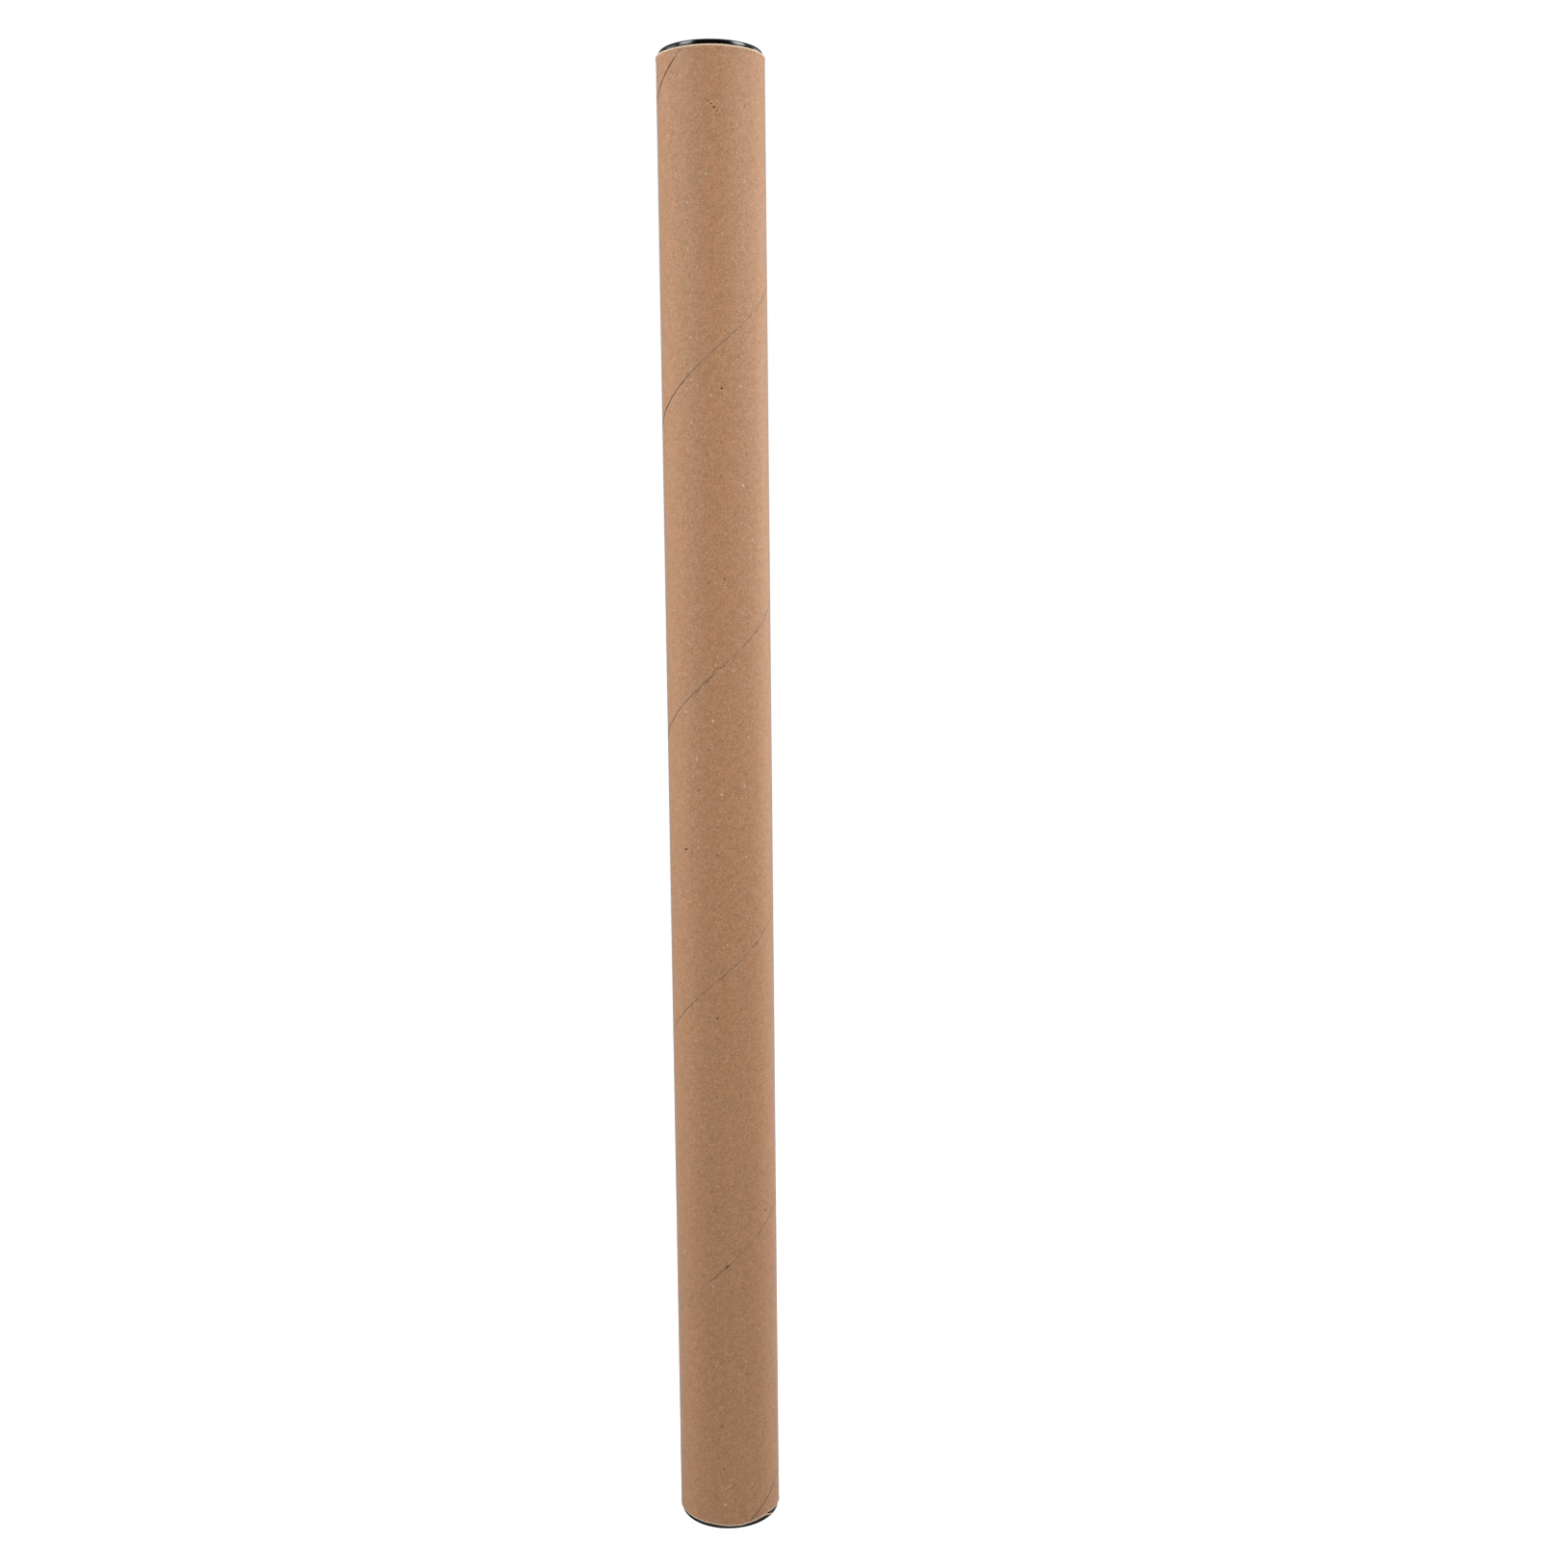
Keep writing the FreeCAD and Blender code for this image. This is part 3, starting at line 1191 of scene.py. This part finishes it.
@dataclass
class TornSliver:
    """A strip of the outer ply that is torn along the nick and hangs from the cut edge."""

    outer: float
    low: float
    start: float = 38.0
    end: float = 58.0
    attached_top: float = 1.7
    free_top: float = -0.35
    attached_height: float = 1.2
    free_height: float = 0.5
    flare: float = 0.12
    bend_start: float = 0.15
    thickness: float = 0.3
    thinning: float = 0.55
    tucked: float = 0.02
    fray: float = 0.12
    # Waves of the frayed edge per degree
    fray_rate: float = 0.9
    steps: int = 24
    edge_rounding: float = 0.05
    edge_angle: float = 50.0
    crease: float = 60.0

    def build(self, material: Material) -> bpy.types.Object:
        """Makes the sliver's piece.

        Args:
            material: the finish of the cut board.

        Returns:
            The object, which rides on the tube.
        """
        mesh = bmesh.new()
        inside = self.outer - self.thickness
        ring = [(inside, 0.0), (self.outer, 0.0), (self.outer, 1.0), (inside, 1.0)]
        corners = [mesh.verts.new(place(self.start, radius, height)) for radius, height in ring]
        bmesh.ops.spin(
            mesh,
            geom=[mesh.faces.new(corners)],
            cent=(0.0, 0.0, 0.0),
            axis=(0.0, 0.0, 1.0),
            dvec=(0.0, 0.0, 0.0),
            angle=math.radians(self.end - self.start),
            steps=self.steps,
        )
        for vert in mesh.verts:
            azimuth = azimuth_of(vert.co)
            share = (azimuth - self.start) / (self.end - self.start)
            level = vert.co.z / MM
            depth = (self.outer - vert.co.xy.length / MM) / self.thickness
            bend = smooth_step(self.bend_start, 1.0, share)
            top = self.attached_top + (self.free_top - self.attached_top) * bend
            tall = self.attached_height + (self.free_height - self.attached_height) * share
            # The two edges of the strip fray each in its own way
            spot = Vector((azimuth * self.fray_rate, level * 2.0, 1.0))
            frayed = self.fray * noise.noise(spot)
            thin = self.thickness * (1.0 - self.thinning * share)
            radius = self.outer - self.tucked + self.flare * bend * bend - depth * thin
            height = self.low + top - (1.0 - level) * tall + frayed
            vert.co = place(azimuth, radius, height)
        bmesh.ops.remove_doubles(mesh, verts=mesh.verts, dist=TOUCHING / 2 * MM)
        limit = math.radians(self.edge_angle)
        bmesh.ops.bevel(
            mesh,
            geom=[edge for edge in mesh.edges if edge.calc_face_angle(0.0) > limit],
            offset=self.edge_rounding * MM,
            offset_type="OFFSET",
            affect="EDGES",
            segments=1,
            profile=0.5,
            material=-1,
            clamp_overlap=True,
        )
        shade(mesh, self.crease)
        return to_piece("torn_sliver", mesh, [material], "tube")


@dataclass
class EndPlug:
    """A moulded plug: a rim that lands on the tube's cut edge, and a cup that grips the bore."""

    name: str
    node: str
    face: float
    rim_radius: float
    depth: float
    rises: bool
    rim_thickness: float = 2.4
    rim_rounding: float = 0.8
    mouth_rounding: float = 0.3
    cup_radius: float = 25.05
    cup_taper: float = 0.2
    cup_wall: float = 1.2
    floor: float = 1.2
    lead_in: float = 0.9
    bead_radius: float = 25.35
    bead_width: float = 1.8
    bead_heights: tuple[float, ...] = (5.9, 10.4)
    bead_rounding: float = 0.35
    tip_rounding: float = 0.2
    root_rounding: float = 0.1
    land_rounding: float = 0.12
    floor_rounding: float = 0.5
    gate_radius: float = 2.5
    gate_height: float = 0.3
    gate_draft: float = 0.1
    gate_rounding: float = 0.1
    foot_rounding: float = 0.05
    # The broken-off stub of the sprue on the gate
    sprue_radius: float = 0.8
    sprue_height: float = 0.1
    sprue_peak: float = 0.15
    sprue_rounding: float = 0.08
    columns: int = 192
    # Roundings above this size take more segments
    fine_rounding: float = 0.25
    few_segments: int = 2
    more_segments: int = 5
    crease: float = 30.0

    def outside(self, height: float) -> float:
        """Gives the cup's outer radius at a height above the rim's face."""
        share = (height - self.rim_thickness) / (self.depth - self.rim_thickness)
        return self.cup_radius - self.cup_taper * share

    def section(self) -> list[tuple[float, float, float]]:
        """Gives the half section's corners, from the middle of the floor round to it again.

        Returns:
            Radius, height above the rim's face, and the rounding of the corner there.
        """
        floor_face = self.depth - self.floor
        inside = self.outside(self.depth) - self.cup_wall
        gate_face = floor_face - self.gate_height
        points = [
            (0.0, gate_face - self.sprue_peak, 0.0),
            (self.sprue_radius, gate_face - self.sprue_height, self.sprue_rounding),
            (self.sprue_radius, gate_face, self.foot_rounding),
            (self.gate_radius, gate_face, self.gate_rounding),
            (self.gate_radius + self.gate_draft, floor_face, self.foot_rounding),
            (inside, floor_face, self.floor_rounding),
            (self.cup_radius - self.cup_wall, 0.0, self.mouth_rounding),
            (self.rim_radius, 0.0, self.rim_rounding),
            (self.rim_radius, self.rim_thickness, self.land_rounding),
            (self.cup_radius, self.rim_thickness, self.root_rounding),
        ]
        for height in self.bead_heights:
            start = height - self.bead_width / 2
            end = height + self.bead_width / 2
            points.append((self.outside(start), start, 0.0))
            points.append((self.bead_radius, height, self.bead_rounding))
            points.append((self.outside(end), end, 0.0))
        shoulder = self.depth - self.lead_in
        tip = self.outside(self.depth) - self.lead_in / 2
        points.append((self.outside(shoulder), shoulder, self.tip_rounding))
        points.append((tip, self.depth, self.tip_rounding))
        points.append((0.0, self.depth, 0.0))
        return points

    def round_corners(
        self, mesh: Mesh, rounding: float, places: list[tuple[float, float]]
    ) -> None:
        """Rounds the rings of edges that run through some corners of the section.

        Args:
            mesh: the plug, with its rim's face at height 0.
            rounding: the corner radius in millimetres.
            places: the radius and height of each corner.
        """
        rings = []
        for edge in mesh.edges:
            ends = [(vert.co.xy.length / MM, vert.co.z / MM) for vert in edge.verts]
            for radius, height in places:
                off = [max(abs(end[0] - radius), abs(end[1] - height)) for end in ends]
                if max(off) < TOUCHING:
                    rings.append(edge)
        bmesh.ops.bevel(
            mesh,
            geom=rings,
            offset=rounding * MM,
            offset_type="OFFSET",
            affect="EDGES",
            segments=self.more_segments if rounding > self.fine_rounding else self.few_segments,
            profile=0.5,
            material=-1,
            clamp_overlap=True,
        )

    def build(self, material: Material) -> bpy.types.Object:
        """Makes the plug's piece, which stands for the CAD plug.

        Args:
            material: the plastic's finish.

        Returns:
            The object.
        """
        mesh = bmesh.new()
        corners = []
        roundings: dict[float, list[tuple[float, float]]] = {}
        for radius, height, rounding in self.section():
            corners.append(mesh.verts.new(Vector((radius, 0.0, height)) * MM))
            if rounding:
                roundings.setdefault(rounding, []).append((radius, height))
        edges = [mesh.edges.new(pair) for pair in zip(corners, corners[1:])]
        bmesh.ops.spin(
            mesh,
            geom=corners + edges,
            cent=(0.0, 0.0, 0.0),
            axis=(0.0, 0.0, 1.0),
            dvec=(0.0, 0.0, 0.0),
            angle=2 * math.pi,
            steps=self.columns,
            use_merge=True,
        )
        bmesh.ops.remove_doubles(mesh, verts=mesh.verts, dist=TOUCHING * MM)
        for rounding, places in roundings.items():
            self.round_corners(mesh, rounding, places)
        if not self.rises:
            turned = Matrix.Rotation(math.pi, 4, "X")
            bmesh.ops.transform(mesh, matrix=turned, verts=mesh.verts)
        bmesh.ops.translate(mesh, vec=(0.0, 0.0, self.face * MM), verts=mesh.verts)
        shade(mesh, self.crease)
        piece = to_piece(self.name, mesh, [material], self.node)
        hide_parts(self.node)
        return piece


@dataclass
class Softbox:
    """A diffused studio lamp that stands round the tube and faces it, sizes in metres."""

    name: str
    azimuth: float
    height: float
    power: float
    distance: float = 1.6
    width: float = 0.8
    tall: float = 1.1
    spread: float = 180.0
    aim: float = 0.38

    def build(self) -> None:
        """Adds the lamp to the scene."""
        lamp = bpy.data.lights.new(self.name, "AREA")
        lamp.shape = "RECTANGLE"
        lamp.size = self.width
        lamp.size_y = self.tall
        lamp.spread = math.radians(self.spread)
        lamp.energy = self.power
        stand = bpy.data.objects.new(self.name, lamp)
        turn = math.radians(self.azimuth)
        where = Vector((math.sin(turn), -math.cos(turn), 0.0)) * self.distance
        where.z = self.height
        to_tube = Vector((0.0, 0.0, self.aim)) - where
        facing = to_tube.to_track_quat("-Z", "Y").to_matrix().to_4x4()
        stand.matrix_world = Matrix.Translation(where) @ facing
        bpy.context.scene.collection.objects.link(stand)


@dataclass
class Studio:
    """A white sweep: a pale floor, a surround that is bright but for its front, and lamps."""

    floor_size: float = 3.2
    floor_squares: int = 8
    floor_colour: str = "#C0C0C0"
    surround: float = 0.47
    ceiling: float = 0.14
    # The world's directions between which the front passes to the walls, and they to the ceiling
    front_to_walls: tuple[float, float] = (-0.75, -0.2)
    walls_to_ceiling: tuple[float, float] = (0.35, 0.65)
    floor_glow: float = 0.94
    floor_share: float = 0.3
    white: Colour = (1.0, 1.0, 1.0, 1.0)
    lamps: list[Softbox] = field(default_factory=lambda: [
        Softbox("key_right", 65.0, 1.3, 4.8, spread=60.0, aim=0.55),
        Softbox("key_left", -55.0, 1.3, 4.0, spread=60.0, aim=0.55),
        Softbox("edge_right", 120.0, 0.6, 8.91),
        Softbox("edge_left", -95.0, 0.6, 7.08),
    ])

    def lay_floor(self) -> None:
        """Lays the floor, which the camera sees as white with the tube's soft shadow on it."""
        mesh = bmesh.new()
        squares = self.floor_squares
        half = self.floor_size / 2
        bmesh.ops.create_grid(mesh, x_segments=squares, y_segments=squares, size=half)
        data = bpy.data.meshes.new("floor")
        mesh.to_mesh(data)
        mesh.free()
        floor = bpy.data.objects.new("floor", data)
        bpy.context.scene.collection.objects.link(floor)
        material = blank_material("white_paper_sweep")
        tree = material.node_tree
        path = add_node(tree, "LightPath")
        plain = add_node(tree, "BsdfDiffuse", {}, {"Color": linear(self.floor_colour)})
        seen = add_node(tree, "BsdfDiffuse", {}, {"Color": (self.floor_share,) * 3 + (1.0,)})
        glow = add_node(tree, "Emission", {}, {"Strength": self.floor_glow})
        lit = add_node(
            tree, "AddShader", {}, {0: seen.outputs["BSDF"], 1: glow.outputs["Emission"]}
        )
        mixed = add_node(
            tree, "MixShader", {},
            {0: path.outputs["Is Camera Ray"], 1: plain.outputs["BSDF"], 2: lit.outputs["Shader"]},
        )
        add_node(tree, "OutputMaterial", {}, {"Surface": mixed.outputs["Shader"]})
        data.materials.append(material)

    def light_world(self) -> None:
        """Surrounds the tube with white walls, bright at the sides and back, dark in front."""
        world = bpy.data.worlds.new("white_surround")
        world.use_nodes = True
        tree = world.node_tree
        tree.nodes.clear()
        direction = add_node(tree, "TexCoord").outputs["Generated"]
        split = add_node(tree, "SeparateXYZ", {}, {"Vector": direction})
        walls = add_node(
            tree, "MapRange", EASED,
            {
                "Value": split.outputs["Y"],
                "From Min": self.front_to_walls[0],
                "From Max": self.front_to_walls[1],
                "To Min": 0.0,
                "To Max": self.surround,
            },
        )
        strength = add_node(
            tree, "MapRange", EASED,
            {
                "Value": split.outputs["Z"],
                "From Min": self.walls_to_ceiling[0],
                "From Max": self.walls_to_ceiling[1],
                "To Min": walls.outputs["Result"],
                "To Max": self.ceiling,
            },
        )
        room = add_node(
            tree, "Background", {}, {"Color": self.white, "Strength": strength.outputs["Result"]}
        )
        seen = add_node(tree, "Background", {}, {"Color": self.white, "Strength": 1.0})
        path = add_node(tree, "LightPath")
        mixed = add_node(
            tree, "MixShader", {},
            {
                0: path.outputs["Is Camera Ray"],
                1: room.outputs["Background"],
                2: seen.outputs["Background"],
            },
        )
        add_node(tree, "OutputWorld", {}, {"Surface": mixed.outputs["Shader"]})
        bpy.context.scene.world = world

    def build(self) -> None:
        """Sets up the floor, the surround and the lamps."""
        self.lay_floor()
        self.light_world()
        for lamp in self.lamps:
            lamp.build()
        bpy.context.scene.view_settings.view_transform = "Standard"


@dataclass
class PhotoCamera:
    """The photograph's viewpoint, fitted to the tube's sides, rims and seam."""

    distance: float = 0.8914
    height: float = 0.5187
    turn_right: float = 2.14
    tip_down: float = 7.507
    roll: float = -0.517
    lens: float = 39.39
    sensor: float = 36.0

    def build(self) -> None:
        """Adds the camera and makes it the scene's own."""
        data = bpy.data.cameras.new("photo_camera")
        data.lens = self.lens
        data.sensor_width = self.sensor
        data.sensor_fit = "HORIZONTAL"
        camera = bpy.data.objects.new("photo_camera", data)
        turned = Matrix.Rotation(math.radians(-self.turn_right), 4, "Z")
        tipped = Matrix.Rotation(math.radians(90.0 - self.tip_down), 4, "X")
        rolled = Matrix.Rotation(math.radians(self.roll), 4, "Z")
        where = Matrix.Translation((0.0, -self.distance, self.height))
        camera.matrix_world = where @ turned @ tipped @ rolled
        bpy.context.scene.collection.objects.link(camera)
        bpy.context.scene.camera = camera


def main() -> None:
    """Builds the camera and studio, then the tube, its torn sliver and the two plugs."""
    logging.basicConfig(level=logging.INFO)
    PhotoCamera().build()
    Studio().build()

    tube_low, tube_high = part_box("tube")
    plug_low, plug_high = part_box("bottom_cap")
    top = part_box("top_cap")[1].z / MM
    # Rounded to a tenth, because the CAD's mesh is flat between its points
    outer = round(tube_high.x / MM, 1)
    rim_radius = round(plug_high.x / MM, 1)
    depth = (plug_high.z - plug_low.z) / MM
    low = tube_low.z / MM
    high = tube_high.z / MM

    WoundTube(SpiralSeam(outer), low, high).build()
    TornSliver(outer, low).build(bpy.data.materials["cut_paperboard"])

    plastic = MouldedPolyethylene("black_polyethylene").build()
    spread = rim_radius + LOWER_RIM_SPREAD
    EndPlug("lower_plug", "bottom_cap", 0.0, spread, depth, rises=True).build(plastic)
    EndPlug("upper_plug", "top_cap", top, rim_radius, depth, rises=False).build(plastic)


if __name__ == "__main__":
    main()
